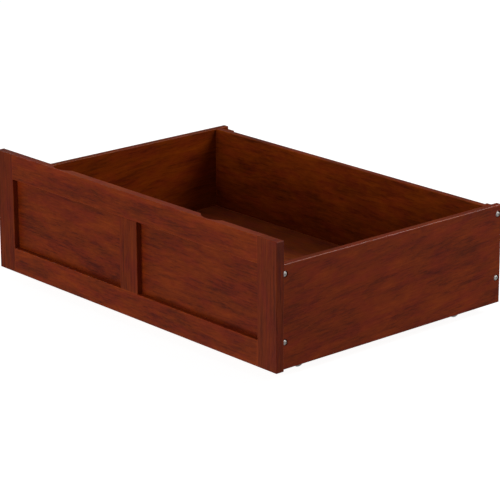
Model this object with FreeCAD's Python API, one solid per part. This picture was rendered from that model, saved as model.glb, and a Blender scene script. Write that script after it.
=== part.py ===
import FreeCAD, Part
import math
import os
from FreeCAD import Vector as V

# ---------------------------------------------------------------------------
# Rolling under bed box: a frame-and-panel front, two sides, a back panel set
# in between the sides, a bottom panel on cleats and four fixed casters.
# Millimetres.  +Z up, the front faces -Y, so +X is on the right of somebody
# who stands before the front and pulls it; the origin is the middle of the
# footprint, on the floor that the wheels stand on.
# ---------------------------------------------------------------------------

# overall
box_width = 950.0            # front, end to end
box_depth = 673.0            # front face to the rear ends of the sides
front_lift = 25.0            # underside of the front above the floor
side_lift = 23.0             # underside of the sides above the floor

# front
front_thick = 21.0
front_high = 279.0
stile_wide = 58.0            # left, right and centre stiles
rail_high = 58.0             # top and bottom rails
panel_set_back = 13.0        # face of the panels behind the face of the frame
panel_thick = 8.0            # flush with the back of the frame
panel_lap = 8.0              # how far a panel reaches into the rebates
ease = 2.0                   # rounded arrises of the boards
ease_small = 0.8             # rounded arrises round the panel openings
joint_open = 0.8             # open joint over the head of the centre stile
joint_open_deep = 2.5

# finger scoops, cut in the back of the top rail
scoop_x = 253.0
scoop_radius = 48.1
scoop_depth = 15.1           # how far the arc cuts forward from the back face
scoop_high = 30.0
scoop_cove = 10.0            # rounded foot of the scoop

# carcass
side_thick = 16.0
side_outer = 462.0           # outer face of a side, from the middle
side_high = 225.0
back_thick = 16.0
back_rear = 648.0            # rear face of the back panel, behind the front
cleat = 18.0                 # square section
support_wide = 45.0
bottom_thick = 12.0
block_wide = 25.0
block_deep = 22.0
block_below_top = 6.0

# fasteners
bolt_shank_r = 2.9
bolt_head_r = 6.0
bolt_head_high = 3.2
bolt_head_rim = 1.7          # straight part of the head under its dome
bolt_long = 28.0
bolt_socket_af = 4.0
bolt_socket_deep = 2.0
bolt_hole_r = 3.2
bolt_seat_r = 7.6            # counterbore in the side that the head sits in
bolt_seat_deep = 3.5
insert_outer_r = 4.75
insert_hole_r = 4.8
insert_bore_r = 3.0
insert_long = 14.0
bolt_z = (81.0, 227.0)
bolt_front_y = 35.0
bolt_rear_y = 662.0
dowel_r = 4.0
dowel_long = 40.0
fit_gap = 0.05               # radial gap of dowels and screws in their holes

# casters
wheel_r = 17.0
wheel_wide = 16.0
wheel_outer_x = 423.0        # outer face of a wheel, from the middle
wheel_bore_r = 3.08
axle_r = 3.0
cheek_gap = 0.5
cheek_thick = 2.0
caster_plate_long = 62.0
caster_front_y = 110.0
caster_rear_y = 575.0

# ---------------------------------------------------------------------------
# derived places; y is measured back from the front face, then shifted
# ---------------------------------------------------------------------------
Y0 = -box_depth / 2.0
half_w = box_width / 2.0
front_top = front_lift + front_high
side_top = side_lift + side_high
side_inner = side_outer - side_thick
back_front = back_rear - back_thick
cleat_top = side_lift + cleat
floor_top = cleat_top + bottom_thick
block_top = side_top - block_below_top
rail_top_low = front_top - rail_high
rail_low_top = front_lift + rail_high
block_inner = side_inner - block_wide
screw_block_x = side_inner - block_wide / 2.0

parts = {}


def box(x0, x1, y0, y1, z0, z1):
    """Block between two corners, y measured back from the front face."""
    return Part.makeBox(x1 - x0, y1 - y0, z1 - z0, V(x0, y0 + Y0, z0))


def cyl(p, d, r, h):
    """Cylinder from p along d, y of p measured back from the front face."""
    return Part.makeCylinder(r, h, V(p[0], p[1] + Y0, p[2]), V(*d))


def fillet_where(shape, radius, test):
    """Round the edges whose middle point passes the test."""
    edges = []
    for e in shape.Edges:
        m = e.valueAt((e.FirstParameter + e.LastParameter) / 2.0)
        if test(m.x, m.y - Y0, m.z, e):
            edges.append(e)
    if not edges:
        raise RuntimeError("no edge found to round")
    out = shape.makeFillet(radius, edges)
    return out


def prism_between(x0, x1, z0, z1, grow):
    """Solid between a rectangle grown on all sides at the front face and the
    rectangle itself, as far behind the face as it was grown."""
    def ring(g, y):
        return [V(x0 - g, Y0 + y, z0 - g), V(x1 + g, Y0 + y, z0 - g), V(x1 + g, Y0 + y, z1 + g), V(x0 - g, Y0 + y, z1 + g)]
    a = ring(grow, 0.0)
    b = ring(0.0, grow)
    faces = [Part.Face(Part.makePolygon(a + a[:1])), Part.Face(Part.makePolygon(b + b[:1]))]
    for i in range(4):
        j = (i + 1) % 4
        faces.append(Part.Face(Part.makePolygon([a[i], a[j], b[j], b[i], a[i]])))
    return Part.Solid(Part.makeShell(faces))


def near(a, b, tol=0.02):
    return abs(a - b) < tol


def turned(profile, centre, axis):
    """Solid of revolution.  profile is a list of (r, h) corners or of
    ('arc', (r, h) through, (r, h) end); it is turned about the h axis, which
    is then laid along axis from centre."""
    pts = []
    edges = []
    last = None
    for item in profile:
        if item[0] == "arc":
            thr = V(item[1][0], 0, item[1][1])
            end = V(item[2][0], 0, item[2][1])
            edges.append(Part.Arc(last, thr, end).toShape())
            last = end
        else:
            p = V(item[0], 0, item[1])
            if last is not None:
                edges.append(Part.LineSegment(last, p).toShape())
            else:
                pts.append(p)
            last = p
    if (last - pts[0]).Length > 1e-7:
        edges.append(Part.LineSegment(last, pts[0]).toShape())
    face = Part.Face(Part.Wire(edges))
    solid = face.revolve(V(0, 0, 0), V(0, 0, 1), 360)
    if solid.ShapeType != "Solid":
        solid = Part.Solid(solid.Shells[0])
    rot = FreeCAD.Rotation(V(0, 0, 1), V(*axis))
    place = FreeCAD.Placement(V(centre[0], centre[1] + Y0, centre[2]), rot)
    solid.Placement = place
    return solid


def placed(shape, centre, axis):
    rot = FreeCAD.Rotation(V(0, 0, 1), V(*axis))
    out = shape.copy()
    out.Placement = FreeCAD.Placement(V(centre[0], centre[1] + Y0, centre[2]), rot)
    return out


# ---------------------------------------------------------------------------
# wood screws, dowels, bolts and inserts
# A screw runs from its head face along axis; "head" is where the top of a
# countersunk head, or the underside of a pan head, lies.
# ---------------------------------------------------------------------------

def cross_recess(r, deep):
    """Cross-shaped drive recess, mouth at z = 0, going down."""
    w = r * 0.30
    a = Part.makeBox(2 * r, w, deep, V(-r, -w / 2.0, -deep))
    b = Part.makeBox(w, 2 * r, deep, V(-w / 2.0, -r, -deep))
    return a.fuse(b).removeSplitter()


def csk_profile(shank, head, length, grow=0.0):
    """Countersunk screw along -z from its flush head at z = 0."""
    hd = (head - shank)
    s = shank + grow
    h = head + grow
    tip = 3.0
    return [(0, 0), (h, 0), (h, -0.4), (s, -0.4 - hd), (s, -length + tip - grow),
            (0.5, -length - grow), (0, -length - grow)]


def csk_screw(head, axis, shank, head_r, length):
    """axis points from the tip out of the head."""
    body = turned(csk_profile(shank, head_r, length), head, axis)
    rec = placed(cross_recess(head_r * 0.55, 1.6), head, axis)
    return body.cut(rec)


def csk_void(head, axis, shank, head_r, length):
    body = turned(csk_profile(shank, head_r, length, fit_gap), head, axis)
    return body


def pan_screw(seat, axis, shank, head_r, head_h, length):
    """Pan head screw; seat is the underside of the head, axis points out."""
    prof = [(0, head_h), ("arc", (head_r * 0.66, head_h * 0.86), (head_r, head_h * 0.35)),
            (head_r, 0), (shank, 0), (shank, -length + 2.6), (0.5, -length), (0, -length)]
    body = turned(prof, seat, axis)
    c = V(*seat) + V(*axis) * head_h
    rec = placed(cross_recess(head_r * 0.55, 1.3), (c.x, c.y, c.z), axis)
    return body.cut(rec)


def pan_void(seat, axis, shank, length):
    s = shank + fit_gap
    prof = [(0, 0.0), (s, 0.0), (s, -length + 2.5), (0.6, -length - 0.1), (0, -length - 0.1)]
    return turned(prof, seat, axis)


def dowel(p0, axis, length=dowel_long):
    c = 1.0
    prof = [(0, 0), (dowel_r - c, 0), (dowel_r, c), (dowel_r, length - c), (dowel_r - c, length), (0, length)]
    return turned(prof, p0, axis)


def dowel_void(p0, axis, length=dowel_long):
    q = V(*p0) - V(*axis) * 0.5
    return cyl((q.x, q.y, q.z), axis, dowel_r + fit_gap, length + 1.0)


def side_bolt(sx, y, z):
    """Low button head bolt, seated in the counterbore of a side and pointing
    inwards."""
    ax = (sx, 0, 0)
    h = bolt_head_high
    seat = side_outer - bolt_seat_deep
    prof = [(0, h), (2.6, h), ("arc", (4.6, h - 0.45), (bolt_head_r, bolt_head_rim)), (bolt_head_r, 0),
            (bolt_shank_r, 0), (bolt_shank_r, -bolt_long + 1.0), (bolt_shank_r - 1.0, -bolt_long), (0, -bolt_long)]
    body = turned(prof, (sx * seat, y, z), ax)
    rr = bolt_socket_af / math.sqrt(3.0)
    pts = [V(rr * math.cos(math.radians(60 * i + 30)), rr * math.sin(math.radians(60 * i + 30)), 0) for i in range(7)]
    hexa = Part.Face(Part.makePolygon(pts)).extrude(V(0, 0, bolt_socket_deep + 1.0))
    rot = FreeCAD.Rotation(V(0, 0, 1), V(*ax))
    base = V(sx * (seat + h - bolt_socket_deep), y + Y0, z)
    hexa.Placement = FreeCAD.Placement(base, rot)
    return body.cut(hexa)


def insert(sx, y, z):
    """Threaded sleeve in a corner block, mouth flush with the block's face."""
    outer = cyl((sx * side_inner, y, z), (-sx, 0, 0), insert_outer_r, insert_long)
    bore = cyl((sx * (side_inner + 1), y, z), (-sx, 0, 0), insert_bore_r, insert_long + 2)
    return outer.cut(bore)


# positions of everything that is drilled ------------------------------------
bolt_spots = [(sx, y, z) for sx in (-1, 1) for y in (bolt_front_y, bolt_rear_y) for z in bolt_z]

block_screw_z = (128.0, 190.0)
front_block_screw = [((sx * screw_block_x, front_thick + block_deep, z), (0, 1, 0)) for sx in (-1, 1) for z in block_screw_z]
rear_block_screw = [((sx * screw_block_x, back_rear + block_deep, z), (0, 1, 0)) for sx in (-1, 1) for z in block_screw_z]
FB = (2.0, 4.0, 34.0)
RB = (2.0, 4.0, 30.0)

cleat_z = side_lift + cleat / 2.0
cleat_screw = []
for sx in (-1, 1):
    for y in (160.0, 336.5, 513.0):
        cleat_screw.append(((sx * (side_inner - cleat), y, cleat_z), (-sx, 0, 0)))
for x in (-340.0, -120.0, 120.0, 340.0):
    cleat_screw.append(((x, front_thick + cleat, cleat_z), (0, 1, 0)))
    cleat_screw.append(((x, back_front - cleat, cleat_z), (0, -1, 0)))
CS = (2.0, 4.0, 28.0)

bottom_screw = []
for sx in (-1, 1):
    for y in (64.0, 266.0, 426.0, 596.0):
        bottom_screw.append(((sx * (side_inner - cleat / 2.0), y, side_lift), (0, 0, -1)))
for x in (-220.0, 220.0):
    bottom_screw.append(((x, front_thick + cleat / 2.0, side_lift), (0, 0, -1)))
    bottom_screw.append(((x, back_front - cleat / 2.0, side_lift), (0, 0, -1)))
for y in (106.0, 336.5, 554.0):
    bottom_screw.append(((0.0, y, side_lift), (0, 0, -1)))
BS = (1.75, 3.5, 26.0)

wheel_mid_x = wheel_outer_x - wheel_wide / 2.0
caster_spots = [("front_left", -1, caster_front_y), ("front_right", 1, caster_front_y),
                ("rear_left", -1, caster_rear_y), ("rear_right", 1, caster_rear_y)]
caster_screw_dx = 6.5
caster_screw_dy = 25.0
caster_seat = cleat_top - cheek_thick
caster_screw = []
for _, sx, y in caster_spots:
    for dx in (-caster_screw_dx, caster_screw_dx):
        for dy in (-caster_screw_dy, caster_screw_dy):
            caster_screw.append((sx * wheel_mid_x + dx, y + dy, caster_seat))
PS = (2.0, 3.6, 2.4, 12.0)


# dowels of the front: along X at the rail ends, along Z at the centre stile
frame_dowel = []
dl = dowel_long / 2.0
inner_edge = half_w - stile_wide
for sx in (-1, 1):
    for z in (front_lift + 14.0, front_lift + 38.0):
        frame_dowel.append(((sx * inner_edge - dl, front_thick / 2.0, z), (1, 0, 0)))
    for z in (front_top - 14.0, front_top - 36.0):
        frame_dowel.append(((sx * inner_edge - dl, front_thick / 2.0, z), (1, 0, 0)))
for x in (-13.0, 13.0):
    frame_dowel.append(((x, front_thick / 2.0 - 2.0, rail_low_top - dl), (0, 0, 1)))
    frame_dowel.append(((x, front_thick / 2.0 - 2.0, rail_top_low - dl), (0, 0, 1)))


# ---------------------------------------------------------------------------
# front: one eased board divided into stiles and rails
# ---------------------------------------------------------------------------
front_board = box(-half_w, half_w, 0, front_thick, front_lift, front_top)
front_board = front_board.makeFillet(ease, front_board.Edges)

# the two panel openings, with eased arrises, and the rebates behind them
centre_half = stile_wide / 2.0
openings = []
for sx in (-1, 1):
    x0, x1 = sorted((sx * centre_half, sx * inner_edge))
    hole = box(x0, x1, -1.0, front_thick + 1.0, rail_low_top, rail_top_low)
    # the mouth of the opening is bevelled at 45 degrees
    mouth = prism_between(x0, x1, rail_low_top, rail_top_low, ease_small)
    rebate = box(x0 - panel_lap, x1 + panel_lap, panel_set_back, front_thick + 1.0,
                 rail_low_top - panel_lap, rail_top_low + panel_lap)
    openings.append((hole.fuse(mouth), rebate, x0, x1))

frame = front_board
for hole, rebate, _, _ in openings:
    frame = frame.cut(hole).cut(rebate)

# stiles and rails are cut out of the frame by their own blocks
big = 5.0
left_stile = frame.common(box(-half_w - big, -inner_edge, -big, front_thick + big, 0, front_top + big))
right_stile = frame.common(box(inner_edge, half_w + big, -big, front_thick + big, 0, front_top + big))
middle = frame.common(box(-inner_edge, inner_edge, -big, front_thick + big, 0, front_top + big))
low_rail = middle.common(box(-inner_edge, inner_edge, -big, front_thick + big, 0, rail_low_top))
top_rail = middle.common(box(-inner_edge, inner_edge, -big, front_thick + big, rail_top_low, front_top + big))
centre_stile = middle.common(box(-inner_edge, inner_edge, -big, front_thick + big, rail_low_top, rail_top_low))
centre_stile = centre_stile.cut(box(-centre_half - big, centre_half + big, -big, joint_open_deep,
                                    rail_top_low - joint_open, rail_top_low + 1.0))

# finger scoops: a vertical half-moon with a coved foot, open to the back and
# to the top
for sx in (-1, 1):
    cy = front_thick - scoop_depth + scoop_radius
    tool = cyl((sx * scoop_x, cy, front_top - scoop_high), (0, 0, 1), scoop_radius, scoop_high + 10)
    low = [e for e in tool.Edges if near(e.BoundBox.ZMax, front_top - scoop_high) and e.BoundBox.XLength > 10]
    tool = tool.makeFillet(scoop_cove, low)
    top_rail = top_rail.cut(tool)

# ease the arrises of the scoops where they meet the top and the back
def scoop_edge(x, y, z, e):
    if abs(abs(x) - scoop_x) > scoop_radius:
        return False
    bb = e.BoundBox
    if bb.XLength > 75:
        return False
    on_top = near(bb.ZMin, front_top) and near(bb.ZMax, front_top)
    curved = e.Curve.TypeId != "Part::GeomLine"
    return on_top and curved and y < front_thick - 1.0

try:
    top_rail = fillet_where(top_rail, 1.2, scoop_edge)
except Exception as err:
    print("scoop arrises left sharp:", err)

# dowel holes
for p, a in frame_dowel:
    v = dowel_void(p, a)
    left_stile = left_stile.cut(v)
    right_stile = right_stile.cut(v)
    low_rail = low_rail.cut(v)
    top_rail = top_rail.cut(v)
    centre_stile = centre_stile.cut(v)

# panels lie in the rebates, flush with the back of the frame
panel_z0 = rail_low_top - panel_lap
panel_z1 = rail_top_low + panel_lap
for name, (_, _, x0, x1) in zip(("front_left_panel", "front_right_panel"), openings):
    p = box(x0 - panel_lap, x1 + panel_lap, panel_set_back, front_thick, panel_z0, panel_z1)
    parts[name] = p

# ---------------------------------------------------------------------------
# sides, back, bottom, blocks, cleats
# ---------------------------------------------------------------------------
sides = {}
for name, sx in (("left_side", -1), ("right_side", 1)):
    x0, x1 = sorted((sx * side_inner, sx * side_outer))
    s = box(x0, x1, front_thick, box_depth, side_lift, side_top)
    s = fillet_where(s, ease, lambda x, y, z, e: (near(z, side_top) and e.BoundBox.YLength > 50)
                     or (near(y, box_depth) and near(abs(z - (side_lift + side_high / 2.0)), 0, 1.0))
                     or (near(z, side_lift) and near(abs(x), side_outer) and e.BoundBox.YLength > 50)
                     or (near(z, side_top) and near(y, box_depth)))
    for bx, y, z in bolt_spots:
        if bx == sx:
            s = s.cut(cyl((sx * (side_outer + 1), y, z), (-sx, 0, 0), bolt_hole_r, side_thick + 2))
            s = s.cut(cyl((sx * (side_outer + 1), y, z), (-sx, 0, 0), bolt_seat_r, bolt_seat_deep + 1))
    sides[name] = s

back = box(-side_inner, side_inner, back_front, back_rear, side_lift, side_top)
back = fillet_where(back, ease, lambda x, y, z, e: near(z, side_top) and e.BoundBox.XLength > 50)

bottom = box(-side_inner, side_inner, front_thick, back_front, cleat_top, floor_top)
for sx in (-1, 1):
    x0, x1 = sorted((sx * block_inner, sx * (side_inner + 1)))
    bottom = bottom.cut(box(x0, x1, front_thick - 1, front_thick + block_deep, cleat_top - 1, floor_top + 1))

blocks = {}
for name, sx, y0, y1, z0 in (("front_left_block", -1, front_thick, front_thick + block_deep, cleat_top),
                             ("front_right_block", 1, front_thick, front_thick + block_deep, cleat_top),
                             ("rear_left_block", -1, back_rear, back_rear + block_deep, side_lift),
                             ("rear_right_block", 1, back_rear, back_rear + block_deep, side_lift)):
    x0, x1 = sorted((sx * block_inner, sx * side_inner))
    b = box(x0, x1, y0, y1, z0, block_top)
    b = fillet_where(b, 1.5, lambda x, y, z, e: near(abs(x), block_inner) and near(y, y1)
                     or near(z, block_top))
    yb = bolt_front_y if y0 < 100 else bolt_rear_y
    for z in bolt_z:
        b = b.cut(cyl((sx * (side_inner + 1), yb, z), (-sx, 0, 0), insert_hole_r, insert_long + 1))
        b = b.cut(cyl((sx * (side_inner + 1), yb, z), (-sx, 0, 0), bolt_hole_r, block_wide - 5))
    blocks[name] = b

cleats = {}
for name, sx in (("left_cleat", -1), ("right_cleat", 1)):
    x0, x1 = sorted((sx * (side_inner - cleat), sx * side_inner))
    c = box(x0, x1, front_thick, back_front, side_lift, cleat_top)
    cleats[name] = fillet_where(c, 1.0, lambda x, y, z, e: near(z, side_lift) and near(abs(x), side_inner - cleat))
cx = side_inner - cleat
c = box(-cx, cx, front_thick, front_thick + cleat, side_lift, cleat_top)
cleats["front_cleat"] = fillet_where(c, 1.0, lambda x, y, z, e: near(z, side_lift) and near(y, front_thick + cleat))
c = box(-cx, cx, back_front - cleat, back_front, side_lift, cleat_top)
cleats["rear_cleat"] = fillet_where(c, 1.0, lambda x, y, z, e: near(z, side_lift) and near(y, back_front - cleat))
c = box(-support_wide / 2.0, support_wide / 2.0, front_thick + cleat, back_front - cleat, side_lift, cleat_top)
cleats["centre_support"] = fillet_where(c, 1.0, lambda x, y, z, e: near(z, side_lift) and e.BoundBox.YLength > 50)


# drilling for screws --------------------------------------------------------
def drill(shape, voids):
    for v in voids:
        if shape.BoundBox.intersect(v.BoundBox):
            shape = shape.cut(v)
    return shape


fb_voids = [csk_void(p, a, *FB) for p, a in front_block_screw]
rb_voids = [csk_void(p, a, *RB) for p, a in rear_block_screw]
cs_voids = [csk_void(p, a, *CS) for p, a in cleat_screw]
bs_voids = [csk_void(p, a, *BS) for p, a in bottom_screw]
ps_voids = [pan_void(p, (0, 0, -1), PS[0], PS[3]) for p in caster_screw]

parts["front_left_stile"] = drill(left_stile, fb_voids)
parts["front_right_stile"] = drill(right_stile, fb_voids)
parts["front_centre_stile"] = centre_stile
parts["front_top_rail"] = top_rail
parts["front_bottom_rail"] = drill(low_rail, cs_voids)
for k in ("front_left_block", "front_right_block"):
    parts[k] = drill(blocks[k], fb_voids)
for k in ("rear_left_block", "rear_right_block"):
    parts[k] = drill(blocks[k], rb_voids)
parts["left_side"] = drill(sides["left_side"], cs_voids)
parts["right_side"] = drill(sides["right_side"], cs_voids)
parts["back_panel"] = drill(back, rb_voids + cs_voids)
parts["bottom_panel"] = drill(bottom, bs_voids + ps_voids)
for k in ("left_cleat", "right_cleat", "front_cleat", "rear_cleat", "centre_support"):
    parts[k] = drill(cleats[k], cs_voids + bs_voids)

parts["frame_dowels"] = Part.makeCompound([dowel(p, a) for p, a in frame_dowel])
parts["side_bolts"] = Part.makeCompound([side_bolt(*s) for s in bolt_spots])
parts["threaded_inserts"] = Part.makeCompound([insert(*s) for s in bolt_spots])
parts["front_block_screws"] = Part.makeCompound([csk_screw(p, a, *FB) for p, a in front_block_screw])
parts["rear_block_screws"] = Part.makeCompound([csk_screw(p, a, *RB) for p, a in rear_block_screw])
parts["cleat_screws"] = Part.makeCompound([csk_screw(p, a, *CS) for p, a in cleat_screw])
parts["bottom_screws"] = Part.makeCompound([csk_screw(p, a, *BS) for p, a in bottom_screw])
parts["caster_screws"] = Part.makeCompound([pan_screw(p, (0, 0, -1), PS[0], PS[1], PS[2], PS[3]) for p in caster_screw])


# ---------------------------------------------------------------------------
# casters: a folded steel bracket, a riveted axle and a nylon wheel
# ---------------------------------------------------------------------------
cheek_in = wheel_wide / 2.0 + cheek_gap
cheek_out = cheek_in + cheek_thick


def tangent_point(px, pz, r, side):
    """Point on a circle of radius r about (0, 0) touched by a line from
    (px, pz), on the given side."""
    d = math.hypot(px, pz)
    a = math.atan2(pz, px)
    b = math.acos(r / d)
    t = a - side * b
    return r * math.cos(t), r * math.sin(t)


def caster_bracket(x, y):
    # drawn about the wheel centre, y along the box, z up
    top = cleat_top - wheel_r
    arm = 20.0
    eye = 8.0
    ty, tz = tangent_point(arm, top - cheek_thick, eye, 1)
    e = [Part.LineSegment(V(0, -arm, top), V(0, arm, top)).toShape(),
         Part.LineSegment(V(0, arm, top), V(0, arm, top - cheek_thick)).toShape(),
         Part.LineSegment(V(0, arm, top - cheek_thick), V(0, ty, tz)).toShape(),
         Part.Arc(V(0, ty, tz), V(0, 0, -eye), V(0, -ty, tz)).toShape(),
         Part.LineSegment(V(0, -ty, tz), V(0, -arm, top - cheek_thick)).toShape(),
         Part.LineSegment(V(0, -arm, top - cheek_thick), V(0, -arm, top)).toShape()]
    face = Part.Face(Part.Wire(e))
    whole = face.extrude(V(2 * cheek_out, 0, 0))
    whole.translate(V(-cheek_out, 0, 0))
    # folded corners: outside bend radius 2.4 where the cheeks leave the plate
    bend = [ed for ed in whole.Edges if near(abs(ed.BoundBox.XMin), cheek_out) and near(ed.BoundBox.XLength, 0)
            and near(ed.BoundBox.ZMin, top) and near(ed.BoundBox.ZMax, top)]
    whole = whole.makeFillet(1.8, bend)
    inside = Part.makeBox(2 * cheek_in, 200, 200, V(-cheek_in, -100, top - cheek_thick - 200))
    whole = whole.cut(inside)
    L = caster_plate_long / 2.0
    plate = Part.makeBox(2 * cheek_out - 1.0, 2 * L, cheek_thick, V(-cheek_out + 0.5, -L, top - cheek_thick))
    corner = [ed for ed in plate.Edges if near(ed.BoundBox.ZLength, cheek_thick)]
    plate = plate.makeFillet(5.0, corner)
    body = whole.fuse(plate).removeSplitter()
    for dx in (-caster_screw_dx, caster_screw_dx):
        for dy in (-caster_screw_dy, caster_screw_dy):
            body = body.cut(Part.makeCylinder(2.25, 10, V(dx, dy, top - 5)))
    body = body.cut(Part.makeCylinder(axle_r + 0.03, 60, V(-30, 0, 0), V(1, 0, 0)))
    body.translate(V(x, y + Y0, wheel_r))
    return body


def caster_axle(x, y):
    """Rivet: a plain shank with a low head outside each cheek."""
    head_r = 4.6
    head_h = 1.4
    xd = V(1, 0, 0)
    shank = Part.makeCylinder(axle_r, 2 * cheek_out, V(-cheek_out, 0, 0), xd)
    body = shank
    for s in (-1, 1):
        head = Part.makeCylinder(head_r, head_h, V(cheek_out, 0, 0), xd)
        rim = [ed for ed in head.Edges if near(ed.BoundBox.XMin, cheek_out + head_h) and near(ed.BoundBox.XLength, 0)
               and ed.Curve.TypeId == "Part::GeomCircle"]
        head = head.makeFillet(0.9, rim)
        if s < 0:
            head = head.mirror(V(0, 0, 0), xd)
        body = body.fuse(head)
    body = body.removeSplitter()
    body.translate(V(x, y + Y0, wheel_r))
    return body


def caster_wheel(x, y):
    w = wheel_wide / 2.0
    rnd = 2.2
    c = wheel_r - rnd
    k = rnd * math.sqrt(0.5)
    dish_out = 13.4
    dish_in = 6.2
    deep = 3.6
    prof = [(wheel_bore_r, -w), (dish_in, -w), (dish_in, -w + deep), (dish_out, -w + deep), (dish_out, -w), (c, -w),
            ("arc", (c + k, -w + rnd - k), (wheel_r, -w + rnd)),
            (wheel_r, w - rnd), ("arc", (c + k, w - rnd + k), (c, w)),
            (dish_out, w), (dish_out, w - deep), (dish_in, w - deep), (dish_in, w), (wheel_bore_r, w)]
    body = turned(prof, (0, -Y0, 0), (1, 0, 0))
    # six thin ribs across each dished face
    ribs = []
    for i in range(6):
        a = math.radians(60 * i + 30)
        for s in (-1, 1):
            rib = Part.makeBox(deep - 0.4, 1.8, dish_out - dish_in + 1.0, V(0, -0.9, dish_in - 0.5))
            if s > 0:
                rib.translate(V(w - deep - 0.2, 0, 0))
            else:
                rib.translate(V(-w + 0.6, 0, 0))
            rib.rotate(V(0, 0, 0), V(1, 0, 0), math.degrees(a))
            ribs.append(rib)
    body = body.fuse(ribs).removeSplitter()
    body.translate(V(x, y + Y0, wheel_r))
    return body


for name, sx, y in caster_spots:
    x = sx * wheel_mid_x
    parts[name + "_caster_bracket"] = caster_bracket(x, y)
    parts[name + "_caster_axle"] = caster_axle(x, y)
    parts[name + "_wheel"] = caster_wheel(x, y)

# ---------------------------------------------------------------------------
# write one file per node
# ---------------------------------------------------------------------------
os.makedirs("parts", exist_ok=True)
for name in sorted(parts):
    s = parts[name]
    solids = s.Solids
    assert solids, name + " holds no solid"
    for i, sol in enumerate(solids):
        assert sol.isValid() and sol.isClosed() and sol.Volume > 0, name + " solid %d is not a closed solid" % i
    out = solids[0] if len(solids) == 1 else Part.makeCompound(solids)
    out.exportStep("parts/" + name + ".step")
    bb = out.optimalBoundingBox()
    print("%-28s solids %2d  volume %10.1f  box %8.2f %8.2f %8.2f  %8.2f %8.2f %8.2f"
          % (name, len(solids), sum(q.Volume for q in solids), bb.XMin, bb.YMin, bb.ZMin, bb.XMax, bb.YMax, bb.ZMax))
print("nodes:", len(parts))
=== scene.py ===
import bpy
import math
from mathutils import Matrix, Vector


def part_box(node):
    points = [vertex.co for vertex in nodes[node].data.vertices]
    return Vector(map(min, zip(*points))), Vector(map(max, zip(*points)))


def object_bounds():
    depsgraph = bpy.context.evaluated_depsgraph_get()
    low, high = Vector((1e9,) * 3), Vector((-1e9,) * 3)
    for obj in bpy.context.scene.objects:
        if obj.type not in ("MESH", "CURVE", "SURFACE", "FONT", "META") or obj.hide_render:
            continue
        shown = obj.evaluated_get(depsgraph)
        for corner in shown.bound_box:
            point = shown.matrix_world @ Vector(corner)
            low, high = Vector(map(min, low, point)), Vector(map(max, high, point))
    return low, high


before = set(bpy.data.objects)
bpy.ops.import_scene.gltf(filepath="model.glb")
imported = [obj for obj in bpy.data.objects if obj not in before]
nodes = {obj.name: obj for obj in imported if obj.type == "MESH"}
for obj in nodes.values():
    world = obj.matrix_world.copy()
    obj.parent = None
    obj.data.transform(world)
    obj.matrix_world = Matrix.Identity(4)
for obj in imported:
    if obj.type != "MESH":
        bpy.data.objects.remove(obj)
cad_lo, cad_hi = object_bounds()

scene = bpy.context.scene
scene.view_settings.view_transform = "Standard"
scene.view_settings.look = "None"
scene.view_settings.exposure = 0.0
scene.view_settings.gamma = 1.0


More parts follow.
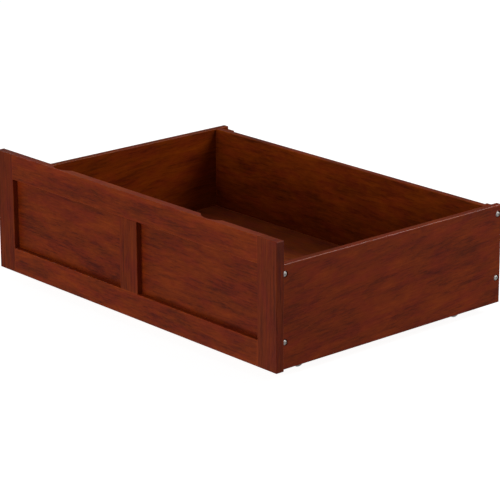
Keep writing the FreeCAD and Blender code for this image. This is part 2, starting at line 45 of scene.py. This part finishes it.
# ---------------------------------------------------------------- node helpers
class Net:
    """A node tree with short calls for the nodes that the materials use."""

    def __init__(self, tree):
        self.t = tree
        tree.nodes.clear()

    def add(self, kind, **props):
        n = self.t.nodes.new(kind)
        for k, v in props.items():
            setattr(n, k, v)
        return n

    def put(self, socket, value):
        if value is None:
            return
        if isinstance(value, bpy.types.NodeSocket):
            self.t.links.new(value, socket)
        elif hasattr(socket.default_value, "__len__"):
            v = list(value)
            if len(v) == 3 and len(socket.default_value) == 4:
                v.append(1.0)
            socket.default_value = v
        else:
            socket.default_value = value

    def math(self, op, a, b=None, c=None, clamp=False):
        n = self.add("ShaderNodeMath", operation=op, use_clamp=clamp)
        self.put(n.inputs[0], a)
        self.put(n.inputs[1], b)
        self.put(n.inputs[2], c)
        return n.outputs[0]

    def vmath(self, op, a, b=None, scale=None):
        n = self.add("ShaderNodeVectorMath", operation=op)
        self.put(n.inputs[0], a)
        if b is not None:
            self.put(n.inputs[1], b)
        if scale is not None:
            self.put(n.inputs["Scale"], scale)
        return n.outputs["Value"] if op in ("LENGTH", "DOT_PRODUCT", "DISTANCE") else n.outputs["Vector"]

    def coords(self):
        return self.add("ShaderNodeTexCoord").outputs["Object"]

    def split(self, v):
        n = self.add("ShaderNodeSeparateXYZ")
        self.put(n.inputs[0], v)
        return n.outputs[0], n.outputs[1], n.outputs[2]

    def join(self, x, y, z):
        n = self.add("ShaderNodeCombineXYZ")
        for s, v in zip(n.inputs, (x, y, z)):
            self.put(s, v)
        return n.outputs[0]

    def noise(self, v, scale, detail=2.0, rough=0.5, distortion=0.0, dims="3D"):
        n = self.add("ShaderNodeTexNoise", noise_dimensions=dims)
        self.put(n.inputs["Vector"], v)
        n.inputs["Scale"].default_value = scale
        n.inputs["Detail"].default_value = detail
        n.inputs["Roughness"].default_value = rough
        n.inputs["Distortion"].default_value = distortion
        return n.outputs[0]

    def voronoi(self, v, scale, feature="F1", randomness=1.0):
        n = self.add("ShaderNodeTexVoronoi", feature=feature)
        self.put(n.inputs["Vector"], v)
        n.inputs["Scale"].default_value = scale
        n.inputs["Randomness"].default_value = randomness
        return n.outputs["Distance"]

    def span(self, v, a, b, c=0.0, d=1.0, smooth=False):
        n = self.add("ShaderNodeMapRange")
        n.interpolation_type = "SMOOTHSTEP" if smooth else "LINEAR"
        n.clamp = True
        self.put(n.inputs["Value"], v)
        for s, x in zip(("From Min", "From Max", "To Min", "To Max"), (a, b, c, d)):
            n.inputs[s].default_value = x
        return n.outputs["Result"]

    def ramp(self, v, stops, mode="LINEAR"):
        n = self.add("ShaderNodeValToRGB")
        n.color_ramp.interpolation = mode
        e = n.color_ramp.elements
        while len(e) < len(stops):
            e.new(0.5)
        for el, (p, c) in zip(e, stops):
            el.position = p
            el.color = (c[0], c[1], c[2], 1.0)
        self.put(n.inputs[0], v)
        return n.outputs[0]

    def mix(self, f, a, b, mode="MIX"):
        n = self.add("ShaderNodeMix", data_type="RGBA", blend_type=mode)
        self.put(n.inputs[0], f)
        self.put(n.inputs[6], a)
        self.put(n.inputs[7], b)
        return n.outputs[2]

    def bump(self, height, distance, strength=1.0, normal=None):
        n = self.add("ShaderNodeBump")
        n.inputs["Distance"].default_value = distance
        n.inputs["Strength"].default_value = strength
        self.put(n.inputs["Height"], height)
        if normal is not None:
            self.put(n.inputs["Normal"], normal)
        return n.outputs[0]

    def finish(self, **sockets):
        bsdf = self.add("ShaderNodeBsdfPrincipled")
        out = self.add("ShaderNodeOutputMaterial")
        for k, v in sockets.items():
            self.put(bsdf.inputs[k.replace("_", " ")], v)
        self.t.links.new(bsdf.outputs[0], out.inputs[0])
        return bsdf


def new_material(name):
    m = bpy.data.materials.new(name)
    m.use_nodes = True
    return m, Net(m.node_tree)


def dress(node, material):
    """Gives a CAD node its finish. Its mesh stays as it is."""
    o = nodes[node]
    o.data.materials.clear()
    o.data.materials.append(material)
    for p in o.data.polygons:
        p.material_index = 0


# ---------------------------------------------------------------- stained wood
# Linear colours of the red-brown stain, from the dark pores to the brightest figure.
STAIN = dict(
    deep=(0.038, 0.0046, 0.0012),
    dark=(0.092, 0.0108, 0.0018),
    mid=(0.150, 0.0180, 0.0020),
    warm=(0.198, 0.0250, 0.0024),
    pale=(0.255, 0.0370, 0.0040),
)


def edge_distance(w, p, lo, hi):
    """Distance in metres from the nearest long edge of a board, on its surface."""
    c = [(a + b) / 2 for a, b in zip(lo, hi)]
    h = [(b - a) / 2 for a, b in zip(lo, hi)]
    d = w.vmath("ABSOLUTE", w.vmath("SUBTRACT", p, c))
    d = w.vmath("SUBTRACT", h, d)
    x, y, z = w.split(d)
    least = w.math("MINIMUM", w.math("MINIMUM", x, y), z)
    most = w.math("MAXIMUM", w.math("MAXIMUM", x, y), z)
    total = w.math("ADD", w.math("ADD", x, y), z)
    return w.math("SUBTRACT", w.math("SUBTRACT", total, least), most)


def stained_wood(name, node, grain, seed, figure=1.0, streak=0.35, blotch=1.0, tone=1.0, edge=1.0, gloss=0.105, tint=(1.0, 1.0, 1.0), ends=None, slant=0.0, arris=0.0, flecks=0.20, crown=0.0, inner_face_painted_light=None, satin=0.38):
    """Red-brown stained wood under a satin lacquer, with the grain along one axis of the object.

    The figure is a solid texture: growth rings round a pith that lies off the board, so that faces,
    edges and end grain of one board belong together."""
    m, w = new_material(name)
    p = w.coords()
    x, y, z = w.split(p)
    # u runs along the grain, v and t across it; t is the board's thickness
    u, v, t = {"x": (x, z, y), "y": (y, z, x), "z": (z, x, y), "xf": (x, y, z)}[grain]
    if slant:
        v = w.math("MULTIPLY_ADD", u, -slant, v)
    q = w.join(u, v, t)
    q = w.vmath("ADD", q, (seed * 1.37 % 5.0, seed * 0.713 % 3.0, seed * 0.291 % 2.0))
    long_ = lambda k: w.vmath("MULTIPLY", q, (k, 1.0, 1.0))

    # slow bending of the grain
    bend = w.noise(long_(0.35), 7.0, 2.0, 0.5)
    bend2 = w.noise(w.vmath("ADD", long_(0.30), (3.1, 7.7, 1.3)), 22.0, 2.0, 0.55)

    # growth rings
    qx, qy, qz = w.split(q)
    pith_v = (seed * 0.713 % 3.0) + 0.11 * math.sin(seed * 2.1)
    pith_t = (seed * 0.291 % 2.0) - 0.09 - 0.05 * math.cos(seed * 1.3)
    rv = w.math("SUBTRACT", qy, pith_v)
    rt = w.math("SUBTRACT", qz, pith_t)
    radius = w.math("SQRT", w.math("ADD", w.math("MULTIPLY", rv, rv), w.math("MULTIPLY", rt, rt)))
    radius = w.math("ADD", radius, w.math("MULTIPLY", bend, 0.085))
    radius = w.math("ADD", radius, w.math("MULTIPLY", bend2, 0.012))
    rings = w.math("FRACT", w.math("MULTIPLY", radius, 95.0))
    late = w.math("POWER", rings, 3.0)
    late = w.math("MULTIPLY", late, w.span(rings, 0.93, 1.0, 1.0, 0.0, True))

    # blotches where the stain has taken more
    b1 = w.noise(long_(0.32), 26.0, 3.0, 0.55, 0.35)
    b2 = w.noise(w.vmath("ADD", long_(0.14), (9.2, 1.4, 4.4)), 70.0, 3.0, 0.6, 0.2)
    # a finer, rather even mottle
    b3 = w.noise(w.vmath("ADD", long_(0.24), (4.6, 8.1, 0.7)), 240.0, 3.0, 0.65)
    # streaks along the grain, a few millimetres wide
    s1 = w.noise(w.vmath("MULTIPLY", q, (0.035, 1.0, 1.0)), 190.0, 3.0, 0.6)
    s2 = w.noise(w.vmath("MULTIPLY", q, (0.12, 1.0, 1.0)), 330.0, 3.0, 0.65)
    # short dark flecks in loose clusters
    f1 = w.noise(w.vmath("ADD", w.vmath("MULTIPLY", q, (0.055, 1.0, 1.0)), (2.7, 5.1, 8.8)), 370.0, 3.0, 0.62)
    where = w.noise(w.vmath("ADD", long_(0.5), (5.5, 2.2, 6.6)), 16.0, 2.0, 0.5)
    fleck = w.math("MULTIPLY", w.span(f1, 0.56, 0.645, 0.0, 1.0, True), w.span(where, 0.40, 0.60, 0.12, 1.0, True))
    # open pores, seen close up
    pore = w.noise(w.vmath("MULTIPLY", q, (0.045, 1.0, 1.0)), 1500.0, 1.0, 0.5)
    pore = w.span(pore, 0.60, 0.72, 0.0, 1.0, True)

    value = w.math("MULTIPLY_ADD", w.math("SUBTRACT", b1, 0.5), 0.85 * blotch, 0.55)
    value = w.math("MULTIPLY_ADD", w.math("SUBTRACT", b2, 0.5), 0.42 * blotch, value)
    value = w.math("MULTIPLY_ADD", w.math("SUBTRACT", b3, 0.5), 0.50 * blotch, value)
    value = w.math("MULTIPLY_ADD", w.math("SUBTRACT", s1, 0.5), streak, value)
    value = w.math("MULTIPLY_ADD", w.math("SUBTRACT", s2, 0.5), 0.42, value)
    value = w.math("MULTIPLY_ADD", late, -0.12 * figure, value)
    value = w.math("MULTIPLY_ADD", fleck, -flecks, value)
    value = w.math("MULTIPLY_ADD", pore, -0.12, value)

    lo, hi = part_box(node)
    e = edge_distance(w, p, lo, hi)
    # every eased edge is painted lighter: partly worn stain, partly a painted highlight standing in for light caught on
    # the arris
    ragged = w.math("MULTIPLY_ADD", s1, -0.0022, e)
    edge_wear_and_painted_highlight = w.math("MULTIPLY", w.span(ragged, -0.0006, 0.0016, 1.0, 0.0, True), 0.20 * edge)
    value = w.math("ADD", value, edge_wear_and_painted_highlight)
    if crown:
        # rubbed lighter in a band under the top arris, where hands take hold
        band = w.math("MULTIPLY_ADD", w.math("SUBTRACT", b1, 0.5), 0.020, z)
        value = w.math("ADD", value, w.span(band, hi[2] - 0.018, hi[2] - 0.008, 0.0, crown, True))

    scaled = {k: tuple(c * tone * h for c, h in zip(col, tint)) for k, col in STAIN.items()}
    colour = w.ramp(
        value,
        [(0.0, scaled["deep"]), (0.28, scaled["dark"]), (0.50, scaled["mid"]), (0.72, scaled["warm"]), (1.0, scaled["pale"])],
    )
    # the stain drifts between crimson and orange over a few centimetres
    hue = w.noise(w.vmath("ADD", long_(0.36), (1.9, 6.3, 2.8)), 36.0, 3.0, 0.6, 0.3)
    colour = w.mix(w.span(hue, 0.40, 0.66, 0.0, 0.42, True), colour, (1.02, 1.26, 0.80), "MULTIPLY")
    colour = w.mix(w.span(hue, 0.56, 0.34, 0.0, 0.70, True), colour, (0.93, 0.76, 1.90), "MULTIPLY")
    if inner_face_painted_light:
        # painted light: the face towards the box's inside is painted lighter and more orange, standing in for the light
        # that falls on it
        colour = w.mix(w.span(y, lo[1] + 0.0004, lo[1] + 0.0012, 1.0, 0.0, True), colour, inner_face_painted_light, "MULTIPLY")
    if ends:
        # the outer edge of a stile has drunk more stain, most of all near its top
        side = w.span(w.math("MULTIPLY", x, ends), max(abs(lo[0]), abs(hi[0])) - 0.0022, max(abs(lo[0]), abs(hi[0])) - 0.0004, 0.0, 1.0, True)
        up_ = w.math("MULTIPLY_ADD", w.math("SUBTRACT", b1, 0.5), 0.06, z)
        high = w.span(up_, hi[2] - 0.075, hi[2] - 0.035, 0.0, 1.0, True)
        colour = w.mix(w.math("MULTIPLY", side, 0.46), colour, (0.74, 0.76, 1.02), "MULTIPLY")
        colour = w.mix(w.math("MULTIPLY", w.math("MULTIPLY", side, high), 0.85), colour, (0.62, 0.60, 1.55), "MULTIPLY")
    rough = w.math("MULTIPLY_ADD", w.math("SUBTRACT", b2, 0.5), 0.16, satin)
    rough = w.math("MULTIPLY_ADD", pore, 0.15, rough)
    height = w.math("MULTIPLY_ADD", s2, 0.5, w.math("MULTIPLY", pore, -1.0))
    height = w.math("MULTIPLY_ADD", late, 0.25, height)
    normal = w.bump(height, 0.00009, 0.45)
    # the lacquer has pulled into a thin bright line on the eased arrises
    extra = dict(Coat_Weight=w.span(e, 0.0006, 0.0010, arris, 0.0), Coat_Roughness=0.28) if arris else {}
    w.finish(
        Base_Color=colour,
        Roughness=rough,
        Normal=normal,
        Specular_IOR_Level=gloss,
        **extra,
    )
    return m


boards = {
    # node: (grain, seed, options)
    "front_left_stile": ("z", 3.2, dict(streak=0.85, blotch=0.45, tone=0.86, ends=-1, tint=(1.0, 1.0, 1.3))),
    "front_right_stile": ("z", 8.7, dict(streak=0.85, blotch=0.50, tone=0.93, ends=1, tint=(1.0, 1.0, 1.3), satin=0.48)),
    "front_centre_stile": ("z", 5.9, dict(streak=0.85, blotch=0.45, tone=0.90, tint=(1.0, 1.0, 1.3))),
    "front_top_rail": ("x", 11.3, dict(tone=1.09, crown=0.12)),
    "front_bottom_rail": ("x", 17.8, dict(tone=1.12)),
    "front_left_panel": ("x", 21.4, dict(flecks=0.28)),
    "front_right_panel": ("x", 26.1, dict(tone=1.03)),
    "left_side": ("y", 31.7, dict(tone=0.92, gloss=0.035, tint=(1.0, 1.22, 0.8), slant=0.06, arris=0.35, blotch=0.85, flecks=0.14)),
    "right_side": ("y", 36.9, dict(gloss=0.11, satin=0.54, slant=0.07, arris=0.50, tone=0.97, blotch=0.9)),
    # the back panel's inner face is painted lighter here, as painted light
    "back_panel": ("x", 41.2, dict(tone=0.98, gloss=0.07, tint=(1.0, 1.08, 1.0), inner_face_painted_light=(1.30, 1.56, 1.15))),
    "front_left_block": ("z", 46.6, {}),
    "front_right_block": ("z", 51.3, {}),
    "rear_left_block": ("z", 56.8, {}),
    "rear_right_block": ("z", 61.5, {}),
    "bottom_panel": ("xf", 66.4, dict(blotch=0.9, tone=1.55, gloss=0.20, tint=(1.0, 1.46, 2.6))),
}
for node, (grain, seed, options) in boards.items():
    dress(node, stained_wood("stained_" + node, node, grain, seed, **options))


# ---------------------------------------------------------------- plain wood of the hidden frame
def plain_wood(name, node, grain, seed, light=(0.60, 0.40, 0.22), dark=(0.40, 0.23, 0.10)):
    m, w = new_material(name)
    p = w.coords()
    x, y, z = w.split(p)
    u, v, t = {"x": (x, z, y), "y": (y, z, x), "z": (z, x, y)}[grain]
    q = w.vmath("ADD", w.join(u, v, t), (seed * 1.37 % 5.0, seed * 0.713 % 3.0, seed * 0.291 % 2.0))
    bend = w.noise(w.vmath("MULTIPLY", q, (0.3, 1.0, 1.0)), 14.0, 2.0, 0.5)
    qx, qy, qz = w.split(q)
    r = w.math("SQRT", w.math("ADD", w.math("POWER", w.math("SUBTRACT", qy, (seed * 0.713 % 3.0) + 0.05), 2.0), w.math("POWER", w.math("SUBTRACT", qz, (seed * 0.291 % 2.0) - 0.07), 2.0)))
    r = w.math("MULTIPLY_ADD", bend, 0.05, r)
    rings = w.math("FRACT", w.math("MULTIPLY", r, 210.0))
    late = w.math("MULTIPLY", w.math("POWER", rings, 2.2), w.span(rings, 0.9, 1.0, 1.0, 0.0, True))
    s = w.noise(w.vmath("MULTIPLY", q, (0.05, 1.0, 1.0)), 500.0, 2.0, 0.6)
    b = w.noise(w.vmath("MULTIPLY", q, (0.4, 1.0, 1.0)), 30.0, 2.0, 0.5)
    value = w.math("MULTIPLY_ADD", late, 0.65, w.math("MULTIPLY", s, 0.35))
    value = w.math("MULTIPLY_ADD", w.math("SUBTRACT", b, 0.5), 0.35, value)
    colour = w.ramp(value, [(0.0, light), (0.45, tuple((a + c) / 2 for a, c in zip(light, dark))), (1.0, dark)])
    rough = w.math("MULTIPLY_ADD", s, 0.2, 0.6)
    w.finish(Base_Color=colour, Roughness=rough, Normal=w.bump(w.math("ADD", s, late), 0.00015, 0.6), Specular_IOR_Level=0.3)
    return m


dress("left_cleat", plain_wood("pine_left_cleat", "left_cleat", "y", 2.3))
dress("right_cleat", plain_wood("pine_right_cleat", "right_cleat", "y", 7.1))
dress("front_cleat", plain_wood("pine_front_cleat", "front_cleat", "x", 12.9))
dress("rear_cleat", plain_wood("pine_rear_cleat", "rear_cleat", "x", 19.4))
dress("centre_support", plain_wood("pine_centre_support", "centre_support", "y", 24.6))
dress("frame_dowels", plain_wood("beech_dowels", "frame_dowels", "x", 29.5, (0.62, 0.44, 0.28), (0.47, 0.29, 0.15)))


# ---------------------------------------------------------------- metals
def metal(name, tint, rough, grime=(0.10, 0.09, 0.08), scratch=1.0, spangle=0.0, scale=1.0):
    """Plated steel: a tint that varies in clouds, fine scratches and a little grime."""
    m, w = new_material(name)
    p = w.coords()
    cloud = w.noise(p, 160.0 * scale, 3.0, 0.6)
    fine = w.noise(w.vmath("MULTIPLY", p, (1.0, 0.12, 1.0)), 2600.0 * scale, 2.0, 0.6)
    spots = w.voronoi(p, 420.0 * scale)
    dirt = w.span(w.noise(w.vmath("ADD", p, (1.7, 3.3, 5.9)), 240.0 * scale, 4.0, 0.65), 0.60, 0.80, 0.0, 0.55, True)
    shade = w.math("MULTIPLY_ADD", w.math("SUBTRACT", cloud, 0.5), 0.35, 0.5)
    shade = w.math("MULTIPLY_ADD", w.math("SUBTRACT", spots, 0.4), spangle, shade)
    bright = tuple(min(1.0, c * 1.12) for c in tint)
    dull = tuple(c * 0.78 for c in tint)
    colour = w.mix(dirt, w.ramp(shade, [(0.2, dull), (0.8, bright)]), grime)
    r = w.math("MULTIPLY_ADD", w.math("SUBTRACT", cloud, 0.5), 0.22, rough)
    r = w.math("MULTIPLY_ADD", w.math("SUBTRACT", fine, 0.5), 0.18 * scratch, r)
    r = w.math("MULTIPLY_ADD", dirt, 0.2, r)
    w.finish(Base_Color=colour, Roughness=r, Metallic=1.0, Normal=w.bump(fine, 0.00004, 0.35 * scratch))
    return m


nickel = metal("satin_nickel", (0.60, 0.575, 0.55), 0.60)
zinc = metal("zinc_screws", (0.60, 0.61, 0.62), 0.34, spangle=0.15)
plate = metal("zinc_plate", (0.57, 0.58, 0.60), 0.38, spangle=0.35)
brass = metal("zinc_inserts", (0.58, 0.56, 0.48), 0.36, spangle=0.1)
dress("side_bolts", nickel)
dress("threaded_inserts", brass)
for n in ("front_block_screws", "rear_block_screws", "cleat_screws", "bottom_screws", "caster_screws"):
    dress(n, zinc)
CORNERS = ("front_left", "front_right", "rear_left", "rear_right")
for c in CORNERS:
    dress(c + "_caster_axle", zinc)
    dress(c + "_caster_bracket", plate)


# ---------------------------------------------------------------- nylon wheels
def nylon(name, hub):
    """Moulded grey nylon, scuffed and dusty on the tread."""
    m, w = new_material(name)
    p = w.coords()
    d = w.vmath("SUBTRACT", p, hub)
    x, y, z = w.split(d)
    r = w.math("SQRT", w.math("ADD", w.math("MULTIPLY", y, y), w.math("MULTIPLY", z, z)))
    tread = w.span(r, 0.0158, 0.0169, 0.0, 1.0, True)
    cloud = w.noise(p, 120.0, 3.0, 0.6)
    grit = w.noise(w.vmath("MULTIPLY", p, (1.0, 0.6, 0.6)), 1400.0, 3.0, 0.65)
    dust = w.math("MULTIPLY", tread, w.span(cloud, 0.35, 0.7, 0.25, 0.9, True))
    base = w.ramp(cloud, [(0.25, (0.33, 0.335, 0.34)), (0.75, (0.43, 0.435, 0.44))])
    colour = w.mix(dust, base, (0.19, 0.175, 0.16))
    rough = w.math("MULTIPLY_ADD", dust, 0.25, w.math("MULTIPLY_ADD", grit, 0.14, 0.36))
    w.finish(Base_Color=colour, Roughness=rough, Normal=w.bump(grit, 0.00008, 0.4), Specular_IOR_Level=0.45)
    return m


for c in CORNERS:
    lo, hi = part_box(c + "_wheel")
    dress(c + "_wheel", nylon("grey_nylon_" + c, tuple((lo + hi) / 2)))


# ---------------------------------------------------------------- stage
centre = (cad_lo + cad_hi) / 2


def floor_plane(size):
    me = bpy.data.meshes.new("studio_floor")
    s = size / 2
    me.from_pydata(
        [(centre.x - s, centre.y - s, 0), (centre.x + s, centre.y - s, 0), (centre.x + s, centre.y + s, 0), (centre.x - s, centre.y + s, 0)],
        [],
        [(0, 1, 2, 3)],
    )
    o = bpy.data.objects.new("studio_floor", me)
    scene.collection.objects.link(o)
    m, w = new_material("studio_floor")
    lit = w.add("ShaderNodeBsdfDiffuse")
    lit.inputs["Color"].default_value = (0.22, 0.22, 0.22, 1)
    glow = w.add("ShaderNodeEmission")
    glow.inputs["Color"].default_value = (1, 1, 1, 1)
    glow.inputs["Strength"].default_value = 0.93
    both = w.add("ShaderNodeAddShader")
    w.t.links.new(lit.outputs[0], both.inputs[0])
    w.t.links.new(glow.outputs[0], both.inputs[1])
    clear = w.add("ShaderNodeBsdfTransparent")
    back = w.add("ShaderNodeNewGeometry").outputs["Backfacing"]
    pick = w.add("ShaderNodeMixShader")
    w.t.links.new(back, pick.inputs[0])
    w.t.links.new(both.outputs[0], pick.inputs[1])
    w.t.links.new(clear.outputs[0], pick.inputs[2])
    out = w.add("ShaderNodeOutputMaterial")
    w.t.links.new(pick.outputs[0], out.inputs[0])
    me.materials.append(m)
    o.visible_diffuse = False
    o.visible_glossy = False
    o.visible_shadow = False
    return o


floor_plane(60.0)

world = bpy.data.worlds.new("studio")
world.use_nodes = True
scene.world = world
w = Net(world.node_tree)
direction = w.add("ShaderNodeTexCoord").outputs["Generated"]
dx, dy, dz = w.split(direction)
shade = w.ramp(w.math("MULTIPLY_ADD", dz, 0.5, 0.5), [(0.0, (0.27, 0.27, 0.27)), (0.47, (0.27, 0.27, 0.27)), (0.53, (0.14, 0.14, 0.14)), (0.66, (0.19, 0.19, 0.19)), (0.82, (0.18, 0.18, 0.18)), (1.0, (0.46, 0.46, 0.46))])
soft = w.add("ShaderNodeBackground")
w.put(soft.inputs["Color"], shade)
soft.inputs["Strength"].default_value = 1.0
white = w.add("ShaderNodeBackground")
white.inputs["Color"].default_value = (1, 1, 1, 1)
white.inputs["Strength"].default_value = 1.0
pick = w.add("ShaderNodeMixShader")
w.t.links.new(w.add("ShaderNodeLightPath").outputs["Is Camera Ray"], pick.inputs[0])
w.t.links.new(soft.outputs[0], pick.inputs[1])
w.t.links.new(white.outputs[0], pick.inputs[2])
out = w.add("ShaderNodeOutputWorld")
w.t.links.new(pick.outputs[0], out.inputs[0])


def softbox(name, toward, distance, size_x, size_y, power, target=None, colour=(1, 1, 1)):
    """An area light in a direction seen from the object, turned to face it."""
    data = bpy.data.lights.new(name, "AREA")
    data.shape = "RECTANGLE"
    data.size = size_x
    data.size_y = size_y
    data.energy = power
    data.color = colour
    o = bpy.data.objects.new(name, data)
    scene.collection.objects.link(o)
    t = Vector(target) if target else centre
    d = Vector(toward).normalized()
    o.location = t + d * distance
    o.rotation_mode = "QUATERNION"
    o.rotation_quaternion = d.to_track_quat("Z", "Y")
    o.visible_camera = False
    return o


softbox("key_rear_right", (0.466, 0.60, 0.65), 5.0, 2.3, 2.3, 194.0)
softbox("front_left", (-0.14, -0.96, 0.245), 3.0, 1.2, 0.8, 27.0)
softbox("front_low", (-0.05, -0.90, -0.44), 3.0, 2.0, 1.0, 15.5)
softbox("front_right_fill", (0.80, -0.58, 0.16), 3.0, 1.0, 1.0, 4.0)
softbox("rear_right_fill", (0.86, 0.50, 0.08), 3.0, 2.2, 0.9, 8.5)
softbox("left_fill", (-0.96, 0.0, 0.28), 3.0, 2.0, 0.8, 13.0)
softbox("under_bounce", (0.0, 0.0, -1.0), 3.0, 1.0, 1.0, 12.0)

# ---------------------------------------------------------------- camera
YAW, PITCH, ROLL = 0.8480260362, 0.3070475314, -0.0027665206
FOCAL = 2335.4 / 500.0 * 36.0
fw0 = Vector((-math.sin(YAW), math.cos(YAW), 0.0))
rt0 = Vector((math.cos(YAW), math.sin(YAW), 0.0))
up0 = Vector((0.0, 0.0, 1.0))
fw = math.cos(PITCH) * fw0 - math.sin(PITCH) * up0
up1 = math.cos(PITCH) * up0 + math.sin(PITCH) * fw0
rt = math.cos(ROLL) * rt0 + math.sin(ROLL) * up1
up = -math.sin(ROLL) * rt0 + math.cos(ROLL) * up1
cam_data = bpy.data.cameras.new("camera")
cam_data.sensor_fit = "AUTO"
cam_data.sensor_width = 36.0
cam_data.lens = FOCAL
cam_data.clip_start = 0.1
cam_data.clip_end = 100.0
cam_data.dof.use_dof = False
cam = bpy.data.objects.new("camera", cam_data)
scene.collection.objects.link(cam)
back = -fw
cam.matrix_world = Matrix(
    (
        (rt.x, up.x, back.x, 3.755659),
        (rt.y, up.y, back.y, -3.300187),
        (rt.z, up.z, back.z, 1.690594),
        (0.0, 0.0, 0.0, 1.0),
    )
)
scene.camera = cam
